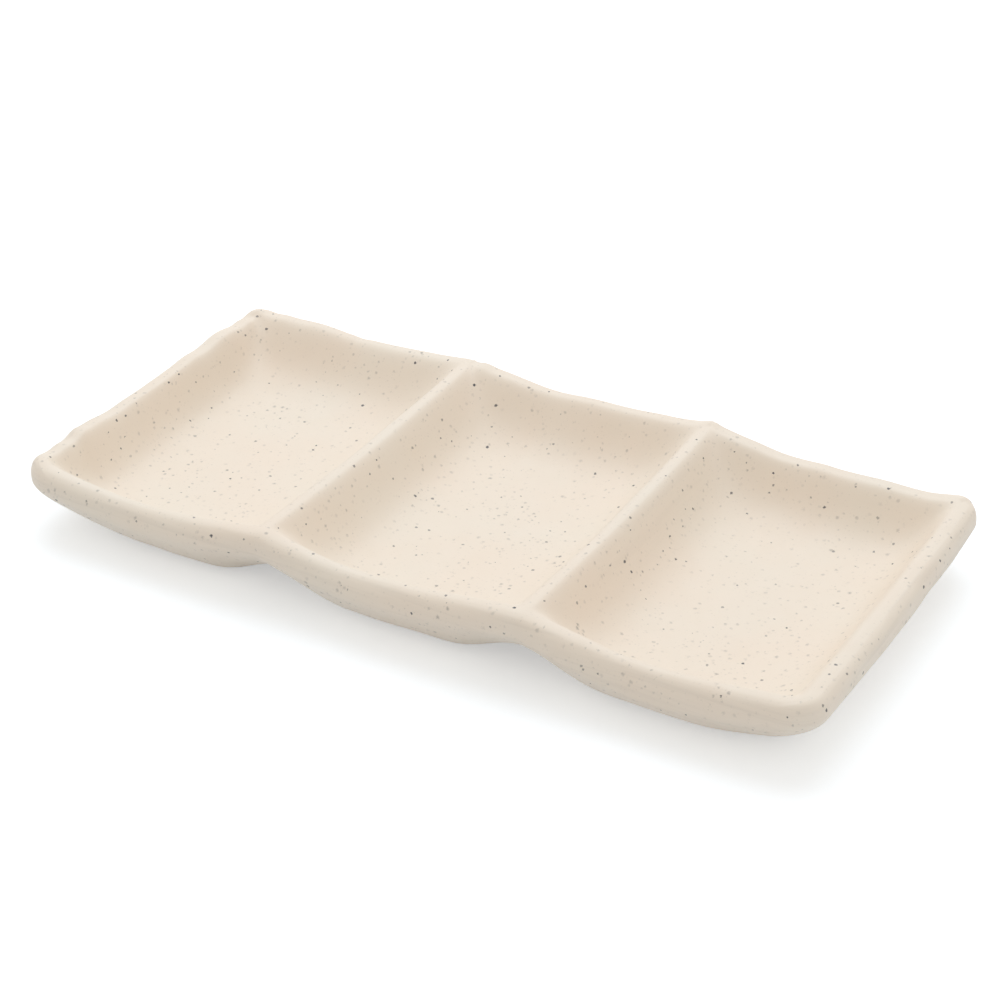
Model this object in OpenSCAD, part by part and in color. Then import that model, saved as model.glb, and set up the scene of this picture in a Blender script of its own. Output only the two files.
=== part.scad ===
// Divided sauce dish: one moulding with three shallow wells side by side.
// The rim rises to a peak at each divider and dips along each well, and its long sides bow outward.
// Under the dish each well has its own rounded belly and foot, with an arch under each divider.
// X runs along the dish, Y across it, and the feet stand on Z = 0.

/* [Overall] */
// Length over the outer faces of the two end walls
dish_length = 250; // [210:1:290]
// Width over the outer faces of the two long walls, where they bow out most
dish_width = 125; // [105:1:150]
// Height of the mean line of the rim above the table
rim_height = 21.9; // [18:0.1:28]

/* [Wells] */
// Distance of each divider from the middle of the dish
divider_place = 40.8; // [36:0.1:46]
// Thickness of the floor of a well
floor_thickness = 2.8; // [2.4:0.1:5]
// Level width of the dividers' and ends' crests towards a well
divider_crest_level = 0.7; // [0:0.1:1.5]
// Level width of the long sides' crests towards a well
side_crest_level = 0.8; // [0:0.1:1.5]
// Roundness of the dividers' and ends' crests towards a well
divider_crest_radius = 1.39; // [1.2:0.1:3]
// Roundness of the long sides' crests towards a well
side_crest_radius = 2.9; // [2:0.1:4.5]

/* [Rim] */
// How far the outer face stands out beyond the crest
lip_reach = 4.5; // [3:0.1:6]
// How far below the crest the outer face stands out most
lip_drop = 5.6; // [4:0.1:7]
// Radius of the crest at the two front corners, seen from above
front_corner_radius = 6.1; // [4:0.1:10]
// Radius of the crest at the two back corners
back_corner_radius = 4.2; // [3.5:0.1:10]
// Outward bow of the long sides along each well
side_bow = 1.8; // [0:0.1:3]
// Outward bow of the left end
left_end_bow = 0.7; // [0:0.1:1.5]
// Outward bow of the right end
right_end_bow = 0.5; // [0:0.1:1.5]
// Height of a full peak where a divider meets the rim
peak_rise = 1.1; // [0:0.1:3]
// Depth of a full dip of the rim along a well
rim_dip = 4.2; // [1:0.1:6]
// Dip of the rim along the left end
left_end_dip = 1.25; // [0:0.1:2]
// Dip of the rim along the right end
right_end_dip = 1.0; // [0:0.1:2]
// Dip of each divider between its two peaks
divider_dip = 1.4; // [0:0.1:3]
// Height of the slow wave along the left end
end_wave = 0.5; // [0:0.1:1]

/* [Underside] */
// Height of the three feet
foot_height = 1.2; // [0.8:0.1:2.5]
// Width of the ring of a foot
foot_width = 2.6; // [2:0.1:4]
// Length of a foot along the dish
foot_length = 48; // [40:1:52]
// Length of a foot across the dish
foot_span = 72; // [60:1:78]
// Outer corner radius of a foot
foot_corner_radius = 14; // [8:1:20]
// How far the two end feet stand out from the middles of their wells
foot_shift = 2; // [0:0.5:4]
// Level distance from the outer face in to the flat of the underside
belly_inset = 12.0; // [9:0.1:14]
// Corner radius of the flat of the underside at the left end
left_belly_radius = 31.5; // [16:0.5:36]
// Corner radius of the flat of the underside at the right end
right_belly_radius = 26.0; // [16:0.5:36]
// Rise of the underside under each divider
arch_rise = 5.9; // [2:0.1:7]
// Distance from a divider to where its arch ends
arch_reach = 25.7; // [16:0.1:28]
// How far the long sides of the belly draw in at each divider
belly_pinch = 2.6; // [0:0.1:5]
// How far the left end of the belly draws in half-way across
left_end_pinch = 0.6; // [0:0.1:3]
// How far the right end of the belly draws in half-way across
right_end_pinch = 1.5; // [0:0.1:3]

/* [Fineness] */
// Steps along half a well
well_steps = 11; // [8:1:11]
// Steps across half the dish
cross_steps = 12; // [8:1:12]
// Steps down the lip
lip_steps = 5; // [3:1:6]
// Steps down the belly
belly_steps = 9; // [6:1:10]

/* [Hidden] */
// Peaks of the rim from the left end to the right, as shares of peak_rise
back_peak_shares = [-0.2, 1.1, 1.1, -0.7];
front_peak_shares = [0.0, 1.0, 1.1, 0.4];
// Dips of the rim along the three wells, as shares of rim_dip
back_dip_shares = [0.65, 0.85, 0.89];
front_dip_shares = [0.73, 0.81, 0.83];
// How far each dip leans to the left, as a share of the well
back_lean_shares = [-0.19, 0.21, 0.23];
front_lean_shares = [-0.02, 0.49, 0.18];
// Steepness of the rim beside a peak, the steeper the lower
back_dip_power = 1.01;
front_dip_power = 1.1;
// Wave of the left end: its period and its first top, as shares of the width
wave_period_share = 0.62;
wave_start_share = 0.16;
// Run of a wall from its crest to the flat floor, as shares of half a well
along_run_share = 0.95;
across_run_share = 0.76;
// How softly a wall eases into the floor
floor_ease = 1.5;
// Blend of the two directions in a well's corners, rounder as it nears 0
corner_blend = 0.88;
// Pulls on the curve of the lip, at the crest and at its widest
top_pull_share = 0.88;
side_pull_share = 0.51;
// Losses of the pull at the crest, and gains of the lip's drop, half-way along each well
narrowing_shares = [0.53, 0.51, 0.47];
drop_gain_shares = [-0.03, 0.04, 0.23];
// Pull of the lip and of the flat on the curve of the belly
lip_pull_share = 0.21;
flat_pull_share = 0.36;
// Share of even spacing in the grid, which is closest beside the crests
even_share = 0.35;
// Sharpness of the arches
arch_power = 1.12;
// Least distance, and least share of a depth, used where a crest is reached
nearness = 0.001;
least_share = 0.000001;

crest_x = (dish_length - left_end_bow - right_end_bow) / 2 - lip_reach;
crest_y = dish_width / 2 - lip_reach - side_bow;
stops = [-crest_x, -divider_place, divider_place, crest_x];
base_x = crest_x + lip_reach - belly_inset;
base_y = crest_y + lip_reach - belly_inset;
floor_height = foot_height + floor_thickness;
foot_sink = floor_thickness / 2;
last_stop = len(stops) - 1;

function mix(from, to, t) = from + (to - from) * t;
function held(t) = min(max(t, 0), 1);
function ease(t) = held(t) * held(t) * (3 - 2 * held(t));
function spread(s) = s * mix(even_share, 1, s);
function span_lines(from, to, steps) = [
    for (i = [1:2 * steps])
        i <= steps
            ? mix(from, (from + to) / 2, spread(i / steps))
            : mix(to, (from + to) / 2, spread((2 * steps - i) / steps))
];

x_lines = concat([-crest_x], [for (k = [0:last_stop - 1]) each span_lines(stops[k], stops[k + 1], well_steps)]);
y_lines = concat([-crest_y], span_lines(-crest_y, crest_y, cross_steps));
x_last = len(x_lines) - 1;
y_last = len(y_lines) - 1;

// Which well a place along the dish belongs to, and how far along that well it is
function well_of(x) = x < stops[1] ? 0 : x < stops[2] ? 1 : 2;
function along_well(x) = held((x - stops[well_of(x)]) / (stops[well_of(x) + 1] - stops[well_of(x)]));
function across(y) = held((y + crest_y) / (2 * crest_y));

// Height of the crest of a long side: peaks joined by straight lines, less one dip a well
function side_height(x, peaks, dips, leans, power) =
    let (k = well_of(x), t = along_well(x))
    rim_height + peak_rise * mix(peaks[k], peaks[k + 1], t)
        - rim_dip * dips[k] * pow(sin(180 * held(t + leans[k] * t * (1 - t))), power);
function front_height(x) = side_height(x, front_peak_shares, front_dip_shares, front_lean_shares, front_dip_power);
function back_height(x) = side_height(x, back_peak_shares, back_dip_shares, back_lean_shares, back_dip_power);

// Height of the crest of an end or a divider, which all run across the dish
function wave(t) = end_wave * cos(360 * (t - wave_start_share) / wave_period_share) * sin(180 * t);
function cross_height(y, s) =
    let (t = across(y))
    rim_height + peak_rise * mix(front_peak_shares[s], back_peak_shares[s], t)
        - (s == 0 ? left_end_dip : s == last_stop ? right_end_dip : divider_dip) * sin(180 * t)
        + (s == 0 ? wave(t) : 0);

// Height of the crests round a well carried inward, each weighing more the nearer it is
function crest_height(x, y) =
    let (
        k = well_of(x),
        heights = [cross_height(y, k), cross_height(y, k + 1), front_height(x), back_height(x)],
        gaps = [x - stops[k], stops[k + 1] - x, y + crest_y, crest_y - y],
        pulls = [for (g = gaps) 1 / pow(max(g, 0) + nearness, 2)],
        total = pulls * [1, 1, 1, 1]
    )
    heights * pulls / total;

// Share of a well's depth that a wall has fallen through at a distance from its crest
function fallen(gap, level, run, radius, depth) =
    let (t = held((gap - level) / (run - level)))
    max(t * t / (t * t + 2 * radius * depth / pow(run - level, 2) * pow(1 - t, floor_ease)), least_share);

// Upper surface: round at the crests, steep on the walls, then easing into the flat floor
function well_height(x, y) =
    let (
        k = well_of(x),
        top = crest_height(x, y),
        depth = top - floor_height,
        half_well = (stops[k + 1] - stops[k]) / 2,
        gap = min(x - stops[k], stops[k + 1] - x),
        along = fallen(gap, divider_crest_level, along_run_share * half_well, divider_crest_radius, depth),
        across = fallen(crest_y - abs(y), side_crest_level, across_run_share * crest_y, side_crest_radius, depth)
    )
    top - depth * pow(pow(along, -corner_blend) + pow(across, -corner_blend) - 1, -1 / corner_blend);

// A place on a plain rectangle moved onto one with round corners
function corner_share(v, half, radius) = held((abs(v) - half + radius) / radius);
function rounded(x, y, half_x, half_y, radius) =
    let (ex = corner_share(x, half_x, radius), ey = corner_share(y, half_y, radius))
    [
        ex > 0 ? sign(x) * (half_x - radius + radius * ex * sqrt(1 - ey * ey / 2)) : x,
        ey > 0 ? sign(y) * (half_y - radius + radius * ey * sqrt(1 - ex * ex / 2)) : y
    ];

function crest_radius(y) = y < 0 ? front_corner_radius : back_corner_radius;

// How fully an end's bow or pinch is felt, none at the corners and half-way along the dish
function end_share(x, y) = sign(x) * ease(2 * abs(x) / crest_x - 1) * sin(180 * across(y));

// Outward bow of the plan, none at the corners and the dividers
function bow(x, y) = [
    (x < 0 ? left_end_bow : right_end_bow) * end_share(x, y),
    sign(y) * side_bow * ease(abs(y) / crest_y) * sin(180 * along_well(x))
];

// Outward direction at a place on the edge of the plan
function outward(x, y) =
    let (
        radius = crest_radius(y),
        p = rounded(x, y, crest_x, crest_y, radius),
        d = [
            sign(x) * max(abs(p[0]) - crest_x + radius, 0),
            sign(y) * max(abs(p[1]) - crest_y + radius, 0)
        ]
    )
    d / norm(d);

// How fully the arches under the dividers are felt at a place along the dish
function arch_share(x) = pow((1 + cos(180 * held(abs(abs(x) - divider_place) / arch_reach))) / 2, arch_power);

function top_point(x, y) =
    let (p = rounded(x, y, crest_x, crest_y, crest_radius(y)) + bow(x, y))
    [p[0], p[1], well_height(x, y)];

function base_point(x, y) =
    let (
        radius = x < 0 ? left_belly_radius : right_belly_radius,
        p = rounded(x * base_x / crest_x, y * base_y / crest_y, base_x, base_y, radius)
    )
    [
        p[0] - (x < 0 ? left_end_pinch : right_end_pinch) * end_share(x, y),
        p[1] - sign(y) * belly_pinch * arch_share(x) * ease(abs(y) / crest_y),
        foot_height + arch_rise * arch_share(x)
    ];

function cubic(a, b, c, d, t) = a * pow(1 - t, 3) + b * 3 * t * pow(1 - t, 2) + c * 3 * t * t * (1 - t) + d * pow(t, 3);

// Lip: a cubic curve that leaves the crest level and ends straight down, tighter along the middle of a well
function lip_point(x, y, t) =
    let (
        p = top_point(x, y),
        n = outward(x, y),
        k = well_of(x),
        middle = sin(180 * along_well(x)),
        reach = [n[0] * lip_reach, n[1] * lip_reach, 0],
        drop = [0, 0, -lip_drop * (1 + drop_gain_shares[k] * middle)],
        top_pull = top_pull_share * (1 - narrowing_shares[k] * middle)
    )
    cubic(p, p + reach * top_pull, p + reach + drop * (1 - side_pull_share), p + reach + drop, t);

// Belly: a cubic curve that leaves the lip straight down and meets the flat level
function belly_point(x, y, t) =
    let (
        from = lip_point(x, y, 1),
        to = base_point(x, y),
        pull_down = [from[0], from[1], mix(from[2], to[2], lip_pull_share)],
        pull_in = [mix(to[0], from[0], flat_pull_share), mix(to[1], from[1], flat_pull_share), to[2]]
    )
    cubic(from, pull_down, pull_in, to, t);

// The grid places along the edge of the plan, once round, and the rows of points below the crest
edge = concat(
    [for (i = [0:x_last - 1]) [i, 0]],
    [for (j = [0:y_last - 1]) [x_last, j]],
    [for (i = [x_last:-1:1]) [i, y_last]],
    [for (j = [y_last:-1:1]) [0, j]]
);
edge_count = len(edge);
row_last = lip_steps + belly_steps;
grid_count = (x_last + 1) * (y_last + 1);

shell_points = concat(
    [for (x = x_lines, y = y_lines) top_point(x, y)],
    [for (x = x_lines, y = y_lines) base_point(x, y)],
    [
        for (r = [1:row_last - 1], e = edge)
            let (x = x_lines[e[0]], y = y_lines[e[1]])
            r <= lip_steps
                ? lip_point(x, y, r / lip_steps)
                : belly_point(x, y, (r - lip_steps) / belly_steps)
    ]
);

function grid_index(i, j) = i * (y_last + 1) + j;
function edge_index(r, k) =
    let (e = edge[k % edge_count])
    r == 0 ? grid_index(e[0], e[1])
        : r == row_last ? grid_count + grid_index(e[0], e[1])
        : 2 * grid_count + (r - 1) * edge_count + k % edge_count;

// Two triangles for one cell, cut from b to d or from a to c
function cell(a, b, c, d, turned) = turned ? [[a, b, d], [b, c, d]] : [[a, b, c], [a, c, d]];
function turned_at(i, j) = (2 * i + 1 < x_last) != (2 * j + 1 < y_last);

shell_faces = concat(
    [
        for (i = [0:x_last - 1], j = [0:y_last - 1])
            each cell(grid_index(i, j), grid_index(i, j + 1), grid_index(i + 1, j + 1), grid_index(i + 1, j), turned_at(i, j))
    ],
    [
        for (i = [0:x_last - 1], j = [0:y_last - 1])
            each [
                for (f = cell(grid_index(i, j), grid_index(i + 1, j), grid_index(i + 1, j + 1), grid_index(i, j + 1), turned_at(i, j)))
                    [for (v = f) v + grid_count]
            ]
    ],
    [
        for (r = [0:row_last - 1], k = [0:edge_count - 1])
            each cell(edge_index(r, k), edge_index(r, k + 1), edge_index(r + 1, k + 1), edge_index(r + 1, k), false)
    ]
);

// A plate with round corners, centred on its place
module plate(length, width, radius, height) {
    linear_extrude(height = height) {
        square([length - 2 * radius, width], center = true);
        square([length, width - 2 * radius], center = true);
        for (sx = [-1, 1], sy = [-1, 1])
            translate([sx * (length / 2 - radius), sy * (width / 2 - radius)])
                circle(r = radius, $fn = 64);
    }
}

// The ring that one well stands on
module foot_ring() {
    tall = foot_height + foot_sink;
    difference() {
        plate(foot_length, foot_span, foot_corner_radius, tall);
        translate([0, 0, -foot_sink])
            plate(foot_length - 2 * foot_width, foot_span - 2 * foot_width, foot_corner_radius - foot_width, tall + 2 * foot_sink);
    }
}

module shell() {
    polyhedron(points = shell_points, faces = shell_faces, convexity = 6);
}

module dish() {
    color([0.95, 0.91, 0.85]) {
        shell();
        for (k = [0:last_stop - 1])
            translate([(stops[k] + stops[k + 1]) / 2 + (k - 1) * foot_shift, 0, 0])
                foot_ring();
    }
}

dish();
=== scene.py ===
import math

import bpy
import numpy as np
from mathutils import Matrix, Vector


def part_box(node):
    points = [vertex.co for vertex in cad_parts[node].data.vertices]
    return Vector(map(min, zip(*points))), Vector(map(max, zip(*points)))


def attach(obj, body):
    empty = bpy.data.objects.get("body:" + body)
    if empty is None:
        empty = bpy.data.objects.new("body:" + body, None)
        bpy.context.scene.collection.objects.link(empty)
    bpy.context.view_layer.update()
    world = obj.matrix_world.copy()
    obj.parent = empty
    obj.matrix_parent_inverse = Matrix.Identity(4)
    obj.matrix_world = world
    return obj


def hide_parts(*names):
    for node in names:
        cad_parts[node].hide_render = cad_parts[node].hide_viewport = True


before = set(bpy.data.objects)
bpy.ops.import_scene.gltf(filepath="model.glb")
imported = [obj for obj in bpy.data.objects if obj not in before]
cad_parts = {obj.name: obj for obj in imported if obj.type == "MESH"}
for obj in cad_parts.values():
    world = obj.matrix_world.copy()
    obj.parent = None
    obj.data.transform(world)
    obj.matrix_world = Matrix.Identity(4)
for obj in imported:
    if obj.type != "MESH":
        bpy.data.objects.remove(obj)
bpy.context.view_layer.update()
lowCorner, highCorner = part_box("dish")
print("frame loaded, the dish measures", [round(h - l, 4) for l, h in zip(lowCorner, highCorner)])

# Lengths are in millimetres and go into the meshes as metres
mm = 0.001
dishLength = (highCorner.x - lowCorner.x) / mm
dishWidth = (highCorner.y - lowCorner.y) / mm

# Most of these numbers come from a fit to the outline and the tones of the photo, and are rounded
dishForm = {
    "rimHeight": 21.9,            # mean line of the rim above the table
    "dividerPlace": 40.8,         # each divider from the middle
    "floorThickness": 2.8,
    # Walls of the wells: level width and roundness of the crest, the share of half a well before the flat
    # floor, and how slowly the wall eases into that floor
    "leftEndWall": [1.2, 0.81, 0.87, 1.94],
    "dividerLeftWall": [1.12, 1.52, 0.91, 1.84],
    "dividerRightWall": [0.49, 1.43, 0.97, 1.08],
    "rightEndWall": [1.05, 1.41, 0.93, 1.65],
    "frontWall": [0.64, 1.91, 0.69, 1.55],
    "backLeftWall": [0.8, 3.09, 0.87, 1.06],
    "backMiddleWall": [1.29, 2.15, 0.78, 0.9],
    "backRightWall": [2.14, 1.77, 0.85, 1.66],
    "cornerBlend": 0.86,          # nearer 0 makes the corners of the wells rounder
    "lipReach": 4.5,              # outer face beyond the crest
    "lipDrop": 5.6,               # and how far below the crest it stands out most
    "frontRadii": [6.7, 5.4],     # corners of the crests' plan, left and right
    "backRadii": [4.1, 4.2],
    "sideBow": 1.8,               # bow of each long side along a well
    "endBows": [0.7, 0.5],        # of the left and the right end
    "peakRise": 1.1,              # peaks of the rim over its mean line, in full
    "rimDip": 4.2,                # and its dip along a well, in full
    "endDips": [1.25, 1.0],
    "dividerDip": 1.4,
    "endWave": 0.5,               # slow wave on the left end, and its top and length as shares of the width
    "endWaveTop": 0.16,
    "endWaveLength": 0.62,
    "backPeaks": [-0.2, 1.1, 1.1, -0.7],    # shares of peakRise, left to right
    "frontPeaks": [0.0, 1.0, 1.1, 0.4],
    "backDips": [0.65, 0.85, 0.89],         # shares of rimDip
    "frontDips": [0.73, 0.81, 0.83],
    "backLeans": [-0.19, 0.21, 0.23],       # how far each dip leans along its well
    "frontLeans": [-0.02, 0.49, 0.18],
    "backDipPower": 1.01,                   # more makes the dips narrower
    "frontDipPower": 1.1,
    "footHeight": 1.2,
    "bellyInset": 12.0,            # flat underside from the outer face
    "bellyRadii": [31.5, 26.0],    # corners of the flat underside, at the left and the right end
    "archRise": 5.9,               # arch under each divider
    "archReach": 25.7,
    "archPower": 1.12,
    "bellyPinch": 2.6,             # how much narrower the underside is at the arches
    "endPinches": [0.6, 1.5],      # and at the left and the right end, half-way across
    "topPull": 0.89,               # pulls on the curve of the lip, at the crest and at its widest
    "sidePull": 0.50,
    "narrowings": [0.53, 0.51, 0.47],       # losses of the pull at the crest half-way along each well
    "dropGains": [-0.03, 0.04, 0.28],       # gains of lipDrop there
    "lipPull": 0.21,               # pulls on the curve of the belly, below the lip and at the flat
    "flatPull": 0.36,
    "stepsAlongHalfWell": 34,      # fineness of the mesh
    "stepsAcrossHalf": 44,
    "lipRows": 12,
    "bellyRows": 24,
    "sharpAngle": 50,              # degrees, past which an edge isn't shaded smooth
}
form = dishForm
# Lumps and hollows of the rim, listed one by one: place along the edge, half width and height
rimLumps = {
    "left": [(-47, 8, -1.0), (-39.4, 5.5, -1.5), (-38, 7, 0.7), (-19, 10, -0.6), (15, 17, -0.4),
             (27, 9, -0.9), (46, 9, -1.1), (52, 4, -0.9)],
    "back": [(-115, 6, -0.7), (-96, 13, 0.5), (-82, 4, -0.3), (-40, 3.5, -0.4), (-36, 4, 0.4),
             (-15, 13, -0.25), (0, 11, 0.4), (30, 8, -0.2), (40, 4, 0.5), (63, 10, -0.5), (76, 6, 0.3),
             (100, 7, -0.3), (108, 10, -0.8), (119, 4, 0.4)],
    "right": [(-20, 10, 0.2), (18, 10, 0.5), (35, 8, -0.3)],
}
# Slight waves of every surface, as on a piece that isn't quite even
unevenness = {
    "seed": 11,
    "waves": 28,
    "shortest": 11.0,             # lengths of the waves
    "longest": 42.0,
    "height": 0.16,
}
leastGap = 0.001                  # keeps the weight of a crest finite on the crest itself
leastShare = 1e-9                 # and the negative power of a share that is 0
crestX = (dishLength - sum(form["endBows"])) / 2 - form["lipReach"]
crestY = dishWidth / 2 - form["lipReach"] - form["sideBow"]
stops = np.array([-crestX, -form["dividerPlace"], form["dividerPlace"], crestX])
floorHeight = form["footHeight"] + form["floorThickness"]


# Steps from 0 to 1 that lie closest beside a crest: each even step times a straight line that rises to 1
def spread(count, even=0.35):
    s = np.arange(1, count + 1) / count
    return s * (even + (1 - even) * s)


# Grid lines between each pair of stops, close at both and wide in the middle
def gridLines(places, count):
    lines = [places[:1]]
    for left, right in zip(places[:-1], places[1:]):
        near = (right - left) / 2 * spread(count)
        lines += [left + near, right - near[:-1][::-1], [right]]
    return np.concatenate(lines)


# The nearest value from 0 to 1
def held(t):
    return np.clip(t, 0, 1)


# Smooth step: the square of the share times three less twice the share
def ease(t):
    return held(t) ** 2 * (3 - 2 * held(t))


# Which well a place along the dish is in, and how far along it, from 0 to 1
def alongWell(x):
    well = np.clip(np.searchsorted(stops, x, side="right") - 1, 0, 2)
    return well, held((x - stops[well]) / (stops[well + 1] - stops[well]))


# How far across the dish a place is, from 0 at the front crest to 1 at the back one
def acrossDish(y):
    return held((y + crestY) / (2 * crestY))


# Sum of the lumps, each a squared cosine that is highest at its place and 0 at its reach
def lumps(place, edge):
    height = 0 * place
    for middle, reach, rise in rimLumps.get(edge, []):
        height = height + rise * np.cos(np.pi / 2 * np.clip((place - middle) / reach, -1, 1)) ** 2
    return height


# Rim of a long side: straight lines from peak to peak, less a half sine dip for each well, which leans to
# one end
def sideHeight(x, side):
    well, t = alongWell(x)
    peaks, leans, dips = (np.array(form[side + name]) for name in ("Peaks", "Leans", "Dips"))
    line = peaks[well] * (1 - t) + peaks[well + 1] * t
    dip = np.sin(np.pi * held(t + leans[well] * t * (1 - t))) ** form[side + "DipPower"]
    return form["rimHeight"] + form["peakRise"] * line - form["rimDip"] * dips[well] * dip + lumps(x, side)


# Crest of an end or a divider: a straight line between its peaks, less one half sine dip, with a slow
# cosine wave on the left end
def crossHeight(y, stop):
    t = acrossDish(y)
    line = form["frontPeaks"][stop] * (1 - t) + form["backPeaks"][stop] * t
    dip = form["endDips"][stop // 3] if stop in (0, 3) else form["dividerDip"]
    turn = 2 * np.pi * (t - form["endWaveTop"]) / form["endWaveLength"]
    wave = form["endWave"] * np.cos(turn) if stop == 0 else 0
    edge = {0: "left", 3: "right"}.get(stop)
    return form["rimHeight"] + form["peakRise"] * line + (wave - dip) * np.sin(np.pi * t) + lumps(y, edge)


# Height of the four crests round a well, weighed by one over the squared distance to each
def crestHeight(x, y):
    well, t = alongWell(x)
    cross = np.stack([crossHeight(y, stop) for stop in range(4)])
    left = np.take_along_axis(cross, well[None], 0)[0]
    right = np.take_along_axis(cross, well[None] + 1, 0)[0]
    front, back = sideHeight(x, "front"), sideHeight(x, "back")
    gaps = [x - stops[well], stops[well + 1] - x, y + crestY, crestY - y]
    pulls = [(np.maximum(gap, 0) + leastGap) ** -2 for gap in gaps]
    return sum(pull * height for pull, height in zip(pulls, (left, right, front, back))) / sum(pulls)


# Share of a well's depth at a distance from a crest: the square of the share of the wall's run, over that
# square plus what is left of the run to the power of its easing, times twice the crest's roundness and the
# depth over the squared run
def bowlShare(gap, walls, halfWell, depth):
    level, roundness, share, easing = np.moveaxis(walls, -1, 0)
    run = share * halfWell - level
    t = held((gap - level) / run)
    return t ** 2 / (t ** 2 + 2 * roundness * depth / run ** 2 * (1 - t) ** easing)


# Upper surface: the crests' height less the depth times one share, which joins the shares along and across
# as the sum of their negative powers less one, so that the corners of each well come out round
def wellHeight(x, y):
    crossWalls = ("leftEnd", "dividerLeft", "dividerRight", "rightEnd")
    sideWalls = ("front", "backLeft", "backMiddle", "backRight")
    walls = np.array([form[name + "Wall"] for name in crossWalls + sideWalls])
    well, _ = alongWell(x)
    gapX = np.minimum(x - stops[well], stops[well + 1] - x)
    halfWell = (stops[well + 1] - stops[well]) / 2
    top = crestHeight(x, y)
    depth = top - floorHeight
    nearLeft = x < stops[well] + halfWell
    flank = np.where(nearLeft, np.where(well == 0, 0, 2), np.where(well == 2, 3, 1))
    along = bowlShare(gapX, walls[flank], halfWell, depth)
    across = bowlShare(crestY - np.abs(y), walls[np.where(y > 0, 5 + well, 4)], crestY, depth)
    blend = form["cornerBlend"]
    joined = np.maximum(along, leastShare) ** -blend + np.maximum(across, leastShare) ** -blend - 1
    return top - depth * joined ** (-1 / blend)


# A rectangle's grid place moved onto one with round corners: near a corner the square of places becomes a
# quarter disc, each share shortened by the root of one less half the other's square
def roundCorners(x, y, halfX, halfY, radius):
    ex, ey = held((np.abs(x) - halfX + radius) / radius), held((np.abs(y) - halfY + radius) / radius)
    newX = np.where(ex > 0, np.sign(x) * (halfX - radius + radius * ex * np.sqrt(1 - ey ** 2 / 2)), x)
    newY = np.where(ey > 0, np.sign(y) * (halfY - radius + radius * ey * np.sqrt(1 - ex ** 2 / 2)), y)
    return newX, newY


# Radius of the corner that a place is nearest to
def crestRadius(x, y):
    front, back = form["frontRadii"], form["backRadii"]
    return np.where(x < 0, np.where(y < 0, front[0], back[0]), np.where(y < 0, front[1], back[1]))


# Plan of the crests: round corners, then each side bowed by a half sine along it
def crestPlan(x, y):
    _, t = alongWell(x)
    planX, planY = roundCorners(x, y, crestX, crestY, crestRadius(x, y))
    bow = np.where(x < 0, form["endBows"][0], form["endBows"][1])
    planX = planX + np.sign(x) * bow * ease(2 * np.abs(x) / crestX - 1) * np.sin(np.pi * acrossDish(y))
    planY = planY + np.sign(y) * form["sideBow"] * ease(np.abs(y) / crestY) * np.sin(np.pi * t)
    return planX, planY


# Half of one plus a cosine round each divider, to a power: 1 at the divider and 0 where its arch ends
def archShare(x):
    share = (1 + np.cos(np.pi * held(np.abs(np.abs(x) - form["dividerPlace"]) / form["archReach"]))) / 2
    return share ** form["archPower"]


# Underside: the crests' rectangle shrunk by the inset with wide round corners, pinched at the arches and
# the ends, and as high as the foot plus the arch
def basePoints(x, y):
    halfX = crestX + form["lipReach"] - form["bellyInset"]
    halfY = crestY + form["lipReach"] - form["bellyInset"]
    radius = np.where(x < 0, form["bellyRadii"][0], form["bellyRadii"][1])
    planX, planY = roundCorners(x * halfX / crestX, y * halfY / crestY, halfX, halfY, radius)
    pinch = np.where(x < 0, form["endPinches"][0], form["endPinches"][1])
    planX = planX - np.sign(x) * pinch * ease(2 * np.abs(x) / crestX - 1) * np.sin(np.pi * acrossDish(y))
    planY = planY - np.sign(y) * form["bellyPinch"] * archShare(x) * ease(np.abs(y) / crestY)
    return np.stack([planX, planY, form["footHeight"] + form["archRise"] * archShare(x)], -1)


# Cubic curve from a to d that is drawn towards b and c on the way
def cubic(a, b, c, d, t):
    return a * (1 - t) ** 3 + 3 * b * t * (1 - t) ** 2 + 3 * c * t ** 2 * (1 - t) + d * t ** 3


# Lip: a cubic that leaves the crest level and ends straight down
# Belly: a cubic from there to the flat underside, where it is level
def outerRows(x, y):
    planX, planY = roundCorners(x, y, crestX, crestY, crestRadius(x, y))
    outX = np.sign(planX) * np.maximum(np.abs(planX) - crestX + crestRadius(x, y), 0)
    outY = np.sign(planY) * np.maximum(np.abs(planY) - crestY + crestRadius(x, y), 0)
    outward = np.stack([outX, outY, 0 * outX], -1)
    outward /= np.linalg.norm(outward, axis=-1, keepdims=True)
    bowedX, bowedY = crestPlan(x, y)
    crest = np.stack([bowedX, bowedY, wellHeight(x, y)], -1)
    well, place = alongWell(x)
    middle = np.sin(np.pi * place)
    topPull = form["topPull"] * (1 - np.array(form["narrowings"])[well] * middle)[:, None]
    reach = form["lipReach"] * outward
    drop = np.stack([0 * x, 0 * x, -form["lipDrop"] * (1 + np.array(form["dropGains"])[well] * middle)], -1)
    t = np.linspace(0, 1, form["lipRows"] + 1)[1:, None, None]
    pullUp = crest + reach + drop * (1 - form["sidePull"])
    lip = cubic(crest, crest + reach * topPull, pullUp, crest + reach + drop, t)
    start, end = lip[-1], basePoints(x, y)
    pullDown = start.copy()
    pullDown[:, 2] += (end - start)[:, 2] * form["lipPull"]
    pullIn = end + (start - end) * form["flatPull"]
    pullIn[:, 2] = end[:, 2]
    t = np.linspace(0, 1, form["bellyRows"] + 1)[1:-1, None, None]
    return np.concatenate([lip, cubic(start, pullDown, pullIn, end, t)])


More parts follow.
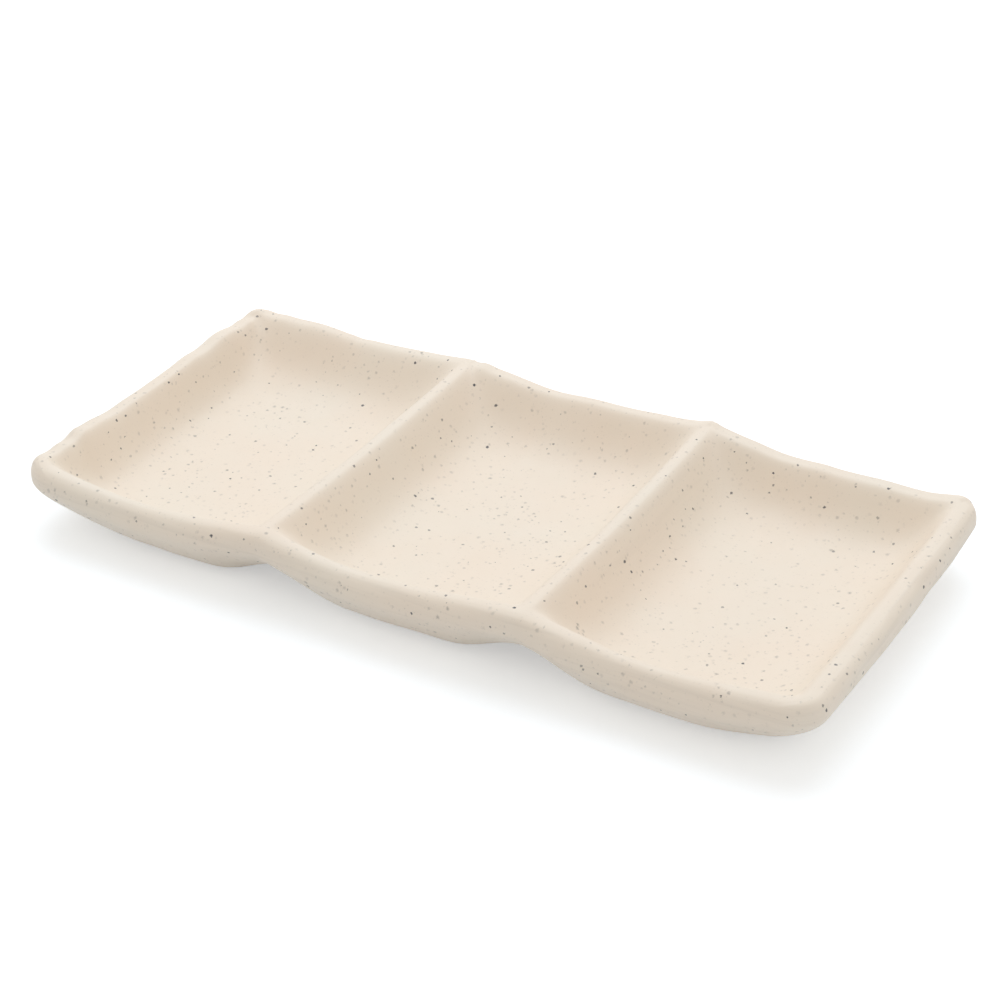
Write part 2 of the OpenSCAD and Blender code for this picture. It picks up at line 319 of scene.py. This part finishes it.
# Sum of sines in random directions, each as high as it is long, over the longest and the root of their number
def unevenHeight(points):
    waves = unevenness["waves"]
    chance = np.random.default_rng(unevenness["seed"])
    length = chance.uniform(unevenness["shortest"], unevenness["longest"], waves)
    direction = chance.normal(size=(waves, 3))
    direction /= np.linalg.norm(direction, axis=1, keepdims=True)
    phase = chance.uniform(0, 2 * np.pi, waves)
    ways = points @ (direction / length[:, None]).T
    total = (length * np.sin(2 * np.pi * ways + phase)).sum(1)
    return unevenness["height"] * total / (unevenness["longest"] * np.sqrt(waves))


# Every point moved outward by the unevenness there, along the mean of its faces' directions
def unevenPoints(points, quads):
    corners = points[quads]
    across = np.cross(corners[:, 2] - corners[:, 0], corners[:, 3] - corners[:, 1])
    outward = np.zeros_like(points)
    for corner in range(4):
        np.add.at(outward, quads[:, corner], across)
    outward /= np.linalg.norm(outward, axis=1, keepdims=True)
    return points + outward * unevenHeight(points)[:, None]


# Four-sided faces, one between each place of a grid and the next ones along and across it
def gridQuads(index):
    return np.stack([index[:-1, :-1], index[1:, :-1], index[1:, 1:], index[:-1, 1:]], -1).reshape(-1, 4)


# The whole shell: the upper grid, the lower grid, and the rows that join their edges
def shellMesh():
    xLines = gridLines(stops, form["stepsAlongHalfWell"])
    yLines = gridLines(np.array([-crestY, crestY]), form["stepsAcrossHalf"])
    x, y = np.meshgrid(xLines, yLines, indexing="ij")
    planX, planY = crestPlan(x, y)
    upper = np.stack([planX, planY, wellHeight(x, y)], -1)
    lower = basePoints(x, y)
    index = np.arange(x.size).reshape(x.shape)
    edge = np.concatenate([index[:-1, 0], index[-1, :-1], index[:0:-1, -1], index[0, :0:-1]])
    rows = outerRows(x.ravel()[edge], y.ravel()[edge])
    points = np.concatenate([upper.reshape(-1, 3), lower.reshape(-1, 3), rows.reshape(-1, 3)])
    rowIndex = 2 * x.size + np.arange(rows.shape[0] * edge.size).reshape(rows.shape[0], edge.size)
    rowIndex = np.concatenate([edge[None], rowIndex, edge[None] + x.size])
    rowIndex = np.concatenate([rowIndex, rowIndex[:, :1]], 1)
    underside = gridQuads(index)[:, [0, 3, 2, 1]] + x.size     # corners the other way round, to face down
    quads = np.concatenate([gridQuads(index), underside, gridQuads(rowIndex)])
    return unevenPoints(points, quads), quads


footForm = {
    "length": 48.0,               # outside, along and across the dish
    "span": 72.0,
    "width": 2.6,                 # of the ring itself
    "roundness": 14.0,            # outer radius of its corners
    "shift": 2.0,                 # end feet outward from the middles of their wells
    "sink": 1.7,                  # how far a ring goes up into the floor
    "edgeRadius": 0.4,            # of the edges it stands on
    "stepsRound": 160,
    "stepsOver": 6,
}


# A foot ring: a section with a flat bottom and round edges, carried along the outline of a rectangle whose
# corners are quarter circles
def footMesh(middle):
    foot = footForm
    angle = np.linspace(0, 2 * np.pi, foot["stepsRound"], endpoint=False)
    halfX, halfY, radius = foot["length"] / 2, foot["span"] / 2, foot["roundness"]
    outX, outY = np.cos(angle), np.sin(angle)
    inset = np.stack([np.sign(outX) * (halfX - radius), np.sign(outY) * (halfY - radius)], -1)
    quarter = np.linspace(0, np.pi / 2, foot["stepsOver"])
    r = foot["edgeRadius"]
    outer = np.stack([-r + r * np.cos(quarter), r - r * np.sin(quarter)], -1)
    inner = np.stack([-foot["width"] + r - r * np.cos(quarter), r - r * np.sin(quarter)], -1)[::-1]
    tall = form["footHeight"] + foot["sink"]
    section = np.concatenate([[[0, tall]], outer, inner, [[-foot["width"], tall]]])
    plan = inset[:, None, :] + np.stack([outX, outY], -1)[:, None, :] * (radius + section[None, :, :1])
    plan[..., 0] += middle
    points = np.concatenate([plan, np.broadcast_to(section[None, :, 1:], plan.shape[:2] + (1,))], -1)
    n, m = points.shape[:2]
    a = np.arange(n)[:, None] * m + np.arange(m)[None]
    b, c, d = np.roll(a, -1, 0), np.roll(np.roll(a, -1, 0), -1, 1), np.roll(a, -1, 1)
    return points.reshape(-1, 3), np.stack([a, d, c, b], -1).reshape(-1, 4)


# A mesh of four-sided faces from places in millimetres
def meshObject(name, points, quads):
    mesh = bpy.data.meshes.new(name)
    mesh.vertices.add(len(points))
    mesh.vertices.foreach_set("co", (points * mm).astype(np.float32).ravel())
    mesh.loops.add(quads.size)
    mesh.loops.foreach_set("vertex_index", quads.astype(np.int32).ravel())
    mesh.polygons.add(len(quads))
    mesh.polygons.foreach_set("loop_start", np.arange(0, quads.size, 4, dtype=np.int32))
    mesh.update(calc_edges=True)
    mesh.validate()
    mesh.shade_smooth()
    piece = bpy.data.objects.new(name, mesh)
    bpy.context.scene.collection.objects.link(piece)
    return piece


# One solid of the shell and its three foot rings, each sunk into the floor of its well
def buildDish():
    dish = meshObject("sauceDish", *shellMesh())
    outward = np.array([-1, 0, 1])
    middles = (stops[:-1] + stops[1:]) / 2 + outward * footForm["shift"]
    for number, middle in enumerate(middles):
        foot = meshObject("footRing%d" % number, *footMesh(middle))
        union = dish.modifiers.new("foot%d" % number, "BOOLEAN")
        union.operation = "UNION"
        union.solver = "MANIFOLD"
        union.object = foot
        bpy.context.view_layer.update()
        joined = dish.evaluated_get(bpy.context.evaluated_depsgraph_get())
        whole = bpy.data.meshes.new_from_object(joined)
        dish.modifiers.clear()
        dish.data = whole
        bpy.data.objects.remove(foot)
    dish.data.shade_smooth()
    dish.data.set_sharp_from_angle(angle=math.radians(form["sharpAngle"]))
    print("dish built with", len(dish.data.polygons), "faces")
    return dish


melamineLook = {
    "body": (0.896, 0.805, 0.691),
    "bodyWarm": (0.910, 0.790, 0.667),
    "speck": (0.060, 0.064, 0.072),
    "softSpeck": (0.170, 0.162, 0.158),
    "roughness": 0.52,
    "roughnessSpread": 0.05,
    "noiseBand": (0.3, 0.7),      # where a noise has these values, it gives its low and its high one
    # Noises: how many to a millimetre, detail, low value and high value
    "warmth": (0.03, 3.0, 0.0, 1.0),
    "gather": (0.09, 2.0, 0.25, 1.0),   # share of the soft specks that shows
    "sheen": (0.2, 4.0),
    "grain": (0.55, 4.0),
    "streakNoise": (0.55, 2.0),   # streaks to a millimetre of height, and detail
    "streakStretch": 0.03,        # share of that number along the walls
    "streakPlaces": (42, 54),     # millimetres from the middle, from no streaks to full ones
    "streaks": 8.0,               # height of the walls' streaks against the grain
    "rippleShade": 0.07,           # painted shade of the walls' ripples: share of the soft specks' colour in the darkest streak
    "streakBand": (0.48, 0.68),   # values of the noise between a clear wall and the darkest streak of painted shade
    "bumpHeight": 0.08,
    "bumpStrength": 0.25,
    # Specks: noise that makes them ragged, and the least size and strength as shares of the full ones
    "raggedness": (1.6, 1.0),
    "leastSize": 0.4,
    "leastStrength": 0.5,
    # Speck layers: spacing and largest radius in millimetres, softness of the edge, share that is there and
    # strength
    "specks": {
        "bold": (3.9, 0.64, 0.45, 0.75, 1.0),
        "fine": (2.6, 0.84, 0.80, 0.75, 0.60),
        "faint": (2.3, 0.86, 0.90, 0.6, 0.32),
        "dust": (1.1, 0.42, 0.80, 0.8, 0.17),
    },
}


def link(tree, start, end):
    tree.links.new(start, end)


# Puts each value into its socket, or links it where it is another node's output
def feed(tree, pairs):
    for socket, value in pairs:
        if isinstance(value, tuple):
            socket.default_value = value + (1.0,) if len(socket.default_value) > len(value) else value
        elif isinstance(value, (int, float)):
            socket.default_value = value
        else:
            link(tree, value, socket)


def mathNode(tree, operation, *values):
    node = tree.nodes.new("ShaderNodeMath")
    node.operation = operation
    feed(tree, zip(node.inputs, values))
    return node.outputs[0]


# Vector maths on a first and a second vector, or on a vector and a scale
def vectorNode(tree, operation, **inputs):
    node = tree.nodes.new("ShaderNodeVectorMath")
    node.operation = operation
    places = {"first": 0, "second": 1, "scale": "Scale"}
    feed(tree, [(node.inputs[places[name]], value) for name, value in inputs.items()])
    return node.outputs["Value" if operation in ("DOT_PRODUCT", "LENGTH") else "Vector"]


# A value brought from one range to another, held within it
def rangeNode(tree, value, fromMin, fromMax, toMin, toMax, smooth=False):
    node = tree.nodes.new("ShaderNodeMapRange")
    if smooth:
        node.interpolation_type = "SMOOTHSTEP"
    values = (value, fromMin, fromMax, toMin, toMax)
    names = ("Value", "From Min", "From Max", "To Min", "To Max")
    feed(tree, zip((node.inputs[name] for name in names), values))
    return node.outputs[0]


def noiseNode(tree, place, scale, detail):
    node = tree.nodes.new("ShaderNodeTexNoise")
    values = {"Scale": scale, "Detail": detail, "Vector": place}
    feed(tree, [(node.inputs[name], value) for name, value in values.items()])
    return node


def mixColour(tree, share, first, second):
    node = tree.nodes.new("ShaderNodeMix")
    node.data_type = "RGBA"
    feed(tree, [(node.inputs[0], share), (node.inputs[6], first), (node.inputs[7], second)])
    return node.outputs[2]


# Specks: a field of scattered points, where the mask is 1 inside a ball round each and fades to 0 at its
# edge. The size, the strength and whether it is there at all come from the random colour of its cell
def speckGroup():
    look = melamineLook
    group = bpy.data.node_groups.new("specks", "ShaderNodeTree")
    group.interface.new_socket("Vector", in_out="INPUT", socket_type="NodeSocketVector")
    defaults = {"Spacing": 2.0, "Radius": 0.3, "Softness": 0.3, "Share": 1.0, "Raggedness": 0.1}
    for name, value in defaults.items():
        group.interface.new_socket(name, in_out="INPUT", socket_type="NodeSocketFloat").default_value = value
    group.interface.new_socket("Mask", in_out="OUTPUT", socket_type="NodeSocketFloat")
    inside = group.nodes.new("NodeGroupInput").outputs
    outside = group.nodes.new("NodeGroupOutput")
    # Lengths come in millimetres, so the place is brought to millimetres and shaken before it is scaled
    place = vectorNode(group, "SCALE", first=inside["Vector"], scale=1 / mm)
    shake = noiseNode(group, place, *look["raggedness"]).outputs["Color"]
    centred = vectorNode(group, "SUBTRACT", first=shake, second=(0.5, 0.5, 0.5))
    amount = vectorNode(group, "SCALE", first=centred, scale=inside["Raggedness"])
    cells = group.nodes.new("ShaderNodeTexVoronoi")
    cells.voronoi_dimensions = "3D"
    cells.feature = "F1"
    link(group, vectorNode(group, "ADD", first=place, second=amount), cells.inputs["Vector"])
    link(group, mathNode(group, "DIVIDE", 1.0, inside["Spacing"]), cells.inputs["Scale"])
    distance = mathNode(group, "MULTIPLY", cells.outputs["Distance"], inside["Spacing"])
    separate = group.nodes.new("ShaderNodeSeparateColor")
    link(group, cells.outputs["Color"], separate.inputs[0])
    parts = separate.outputs
    share = mathNode(group, "MULTIPLY_ADD", parts[0], 1 - look["leastSize"], look["leastSize"])
    size = mathNode(group, "MULTIPLY", inside["Radius"], share)
    inner = mathNode(group, "MULTIPLY", size, mathNode(group, "SUBTRACT", 1.0, inside["Softness"]))
    ball = rangeNode(group, distance, inner, size, 1.0, 0.0, smooth=True)
    present = mathNode(group, "LESS_THAN", parts[1], inside["Share"])
    strength = mathNode(group, "MULTIPLY_ADD", parts[2], 1 - look["leastStrength"], look["leastStrength"])
    mask = mathNode(group, "MULTIPLY", mathNode(group, "MULTIPLY", ball, present), strength)
    link(group, mask, outside.inputs["Mask"])
    return group


def melamineMaterial():
    look = melamineLook
    material = bpy.data.materials.new("speckledMelamine")
    material.use_nodes = True
    tree = material.node_tree
    surface = tree.nodes["Principled BSDF"].inputs
    coordinates = tree.nodes.new("ShaderNodeTexCoord").outputs
    place = coordinates["Object"]
    specks = speckGroup()

    def speckLayer(name):
        spacing, radius, softness, share, strength = look["specks"][name]
        layer = tree.nodes.new("ShaderNodeGroup")
        layer.node_tree = specks
        values = {"Vector": place, "Spacing": spacing, "Radius": radius, "Softness": softness, "Share": share,
                  "Raggedness": radius}
        feed(tree, [(layer.inputs[socket], value) for socket, value in values.items()])
        return mathNode(tree, "MULTIPLY", layer.outputs["Mask"], strength)

    def noise(scale, detail, where=place):
        return noiseNode(tree, where, scale / mm, detail).outputs["Fac"]

    def patches(scale, detail, low, high):
        return rangeNode(tree, noise(scale, detail), *look["noiseBand"], low, high)

    # Streaks: a noise drawn out along the walls and close in height, so that level surfaces have none. It
    # bumps real ripples into the walls and also darkens their colour as painted shade
    drawn = tree.nodes.new("ShaderNodeMapping")
    drawn.inputs["Scale"].default_value = (look["streakStretch"], look["streakStretch"], 1.0)
    link(tree, place, drawn.inputs["Vector"])
    streaks = noise(*look["streakNoise"], drawn.outputs["Vector"])
    # Only on the outer walls, where the direction faced and the way from the middle agree
    facing = vectorNode(tree, "DOT_PRODUCT", first=place, second=coordinates["Normal"])
    start, full = look["streakPlaces"]
    outer = rangeNode(tree, facing, start * mm, full * mm, 0.0, 1.0)

    gather = patches(*look["gather"])
    colour = mixColour(tree, patches(*look["warmth"]), look["body"], look["bodyWarm"])
    # Painted shade of the ripples: where the streak noise is high, the colour darkens towards the soft
    # specks' colour, on the outer walls only
    rippleShadeShare = rangeNode(tree, streaks, *look["streakBand"], 0.0, look["rippleShade"])
    colour = mixColour(tree, mathNode(tree, "MULTIPLY", outer, rippleShadeShare), colour, look["softSpeck"])
    for name in ("dust", "faint", "fine"):
        share = mathNode(tree, "MULTIPLY", speckLayer(name), gather)
        colour = mixColour(tree, share, colour, look["softSpeck"])
    colour = mixColour(tree, speckLayer("bold"), colour, look["speck"])
    link(tree, colour, surface["Base Color"])

    low, high = look["roughness"] - look["roughnessSpread"], look["roughness"] + look["roughnessSpread"]
    link(tree, patches(*look["sheen"], low, high), surface["Roughness"])
    streakHeight = mathNode(tree, "MULTIPLY", streaks, mathNode(tree, "MULTIPLY", outer, look["streaks"]))
    bump = tree.nodes.new("ShaderNodeBump")
    bump.inputs["Strength"].default_value = look["bumpStrength"]
    bump.inputs["Distance"].default_value = look["bumpHeight"] * mm
    link(tree, mathNode(tree, "ADD", streakHeight, noise(*look["grain"])), bump.inputs["Height"])
    link(tree, bump.outputs[0], surface["Normal"])
    print("melamine ready")
    return material


dish = buildDish()
dish.data.materials.clear()
dish.data.materials.append(melamineMaterial())
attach(dish, "root")
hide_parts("dish")

# The camera, and the strength and place of the lights, were fitted to the photo too
stageLook = {
    "floorHalf": 3000,            # millimetres from the middle of the floor to each side
    "floorColour": (0.81, 0.85, 0.89),
    "floorRoughness": 0.9,
    "floorGlow": 0.40,            # what the camera sees on top of the lit floor, so that it reads as white
    "farGlow": 0.55,
    "glowReach": (0.3, 1.0),      # metres from the dish, from floorGlow to farGlow
    "worldLight": 0.638,          # strength of the even light from all sides
    "worldColour": (1.0, 0.96, 0.905),
    "lampColour": (0.80, 0.90, 1.0),
    "keyPower": 9.66,             # watts, with sizes and places in metres
    "keySize": 1.35,
    "keyPlace": (-0.34, 0.61, 1.15),
    "fillPower": 0.72,
    "fillSize": 0.5,
    "fillPlace": (1.28, -0.19, 0.09),
    "cameraLens": 87.44,          # millimetres, on a sensor of the next width
    "cameraSensor": 36,
    "cameraElevation": 31.16,     # degrees, as are the next two
    "cameraAzimuth": 29.77,
    "cameraRoll": -0.13,
    "cameraDistance": 0.6886,     # metres, as are the two shifts of the aim
    "aimRight": 0.0014,
    "aimUp": -0.0060,
}


# 1 for what the camera sees straight, in gloss or through glass, and 0 for light that falls on the dish
def seenShare(tree):
    path = tree.nodes.new("ShaderNodeLightPath")
    seen = mathNode(tree, "MAXIMUM", path.outputs["Is Camera Ray"], path.outputs["Is Glossy Ray"])
    return mathNode(tree, "MAXIMUM", seen, path.outputs["Is Transmission Ray"])


def buildStage():
    stage = stageLook
    corners = stage["floorHalf"] * np.array([[-1.0, -1, 0], [1, -1, 0], [1, 1, 0], [-1, 1, 0]])
    floor = meshObject("paleFloor", corners, np.array([[0, 1, 2, 3]]))
    material = bpy.data.materials.new("paleFloor")
    material.use_nodes = True
    tree = material.node_tree
    surface = tree.nodes["Principled BSDF"].inputs
    values = {"Base Color": stage["floorColour"], "Roughness": stage["floorRoughness"],
              "Specular IOR Level": 0.0, "Emission Color": (1.0, 1.0, 1.0)}
    feed(tree, [(surface[socket], value) for socket, value in values.items()])
    away = vectorNode(tree, "LENGTH", first=tree.nodes.new("ShaderNodeTexCoord").outputs["Object"])
    glow = rangeNode(tree, away, *stage["glowReach"], stage["floorGlow"], stage["farGlow"])
    link(tree, mathNode(tree, "MULTIPLY", seenShare(tree), glow), surface["Emission Strength"])
    floor.data.materials.append(material)

    world = bpy.data.worlds.new("studio")
    bpy.context.scene.world = world
    world.use_nodes = True
    tree = world.node_tree
    light = tuple(stage["worldLight"] * part for part in stage["worldColour"])
    tint = mixColour(tree, seenShare(tree), light, (1.0, 1.0, 1.0))
    link(tree, tint, tree.nodes["Background"].inputs["Color"])

    for name in ("key", "fill"):
        lamp = bpy.data.lights.new(name, "AREA")
        lamp.size = stage[name + "Size"]
        lamp.energy = stage[name + "Power"]
        lamp.color = stage["lampColour"]
        place = Vector(stage[name + "Place"])
        light = bpy.data.objects.new(name, lamp)
        bpy.context.scene.collection.objects.link(light)
        light.location = place
        light.rotation_euler = (-place).to_track_quat("-Z", "Y").to_euler()
    print("stage ready")


# The camera looks at a place a little beside the middle of the rim, from its azimuth and elevation
def buildCamera():
    stage = stageLook
    azimuth = math.radians(stage["cameraAzimuth"])
    elevation = math.radians(stage["cameraElevation"])
    roll = math.radians(stage["cameraRoll"])
    across = math.cos(elevation)
    back = Vector((math.sin(azimuth) * across, -math.cos(azimuth) * across, math.sin(elevation)))
    level = Vector((math.cos(azimuth), math.sin(azimuth), 0))
    up = back.cross(level)
    right = math.cos(roll) * level + math.sin(roll) * up
    up = math.cos(roll) * up - math.sin(roll) * level
    aim = Vector((0, 0, form["rimHeight"] * mm)) + stage["aimRight"] * right + stage["aimUp"] * up
    place = aim + stage["cameraDistance"] * back
    camera = bpy.data.objects.new("camera", bpy.data.cameras.new("camera"))
    camera.data.lens = stage["cameraLens"]
    camera.data.sensor_width = stage["cameraSensor"]
    camera.matrix_world = Matrix.Translation(place) @ Matrix((right, up, back)).transposed().to_4x4()
    bpy.context.scene.collection.objects.link(camera)
    bpy.context.scene.camera = camera
    print("camera ready")


buildStage()
buildCamera()
bpy.context.scene.view_settings.view_transform = "Standard"
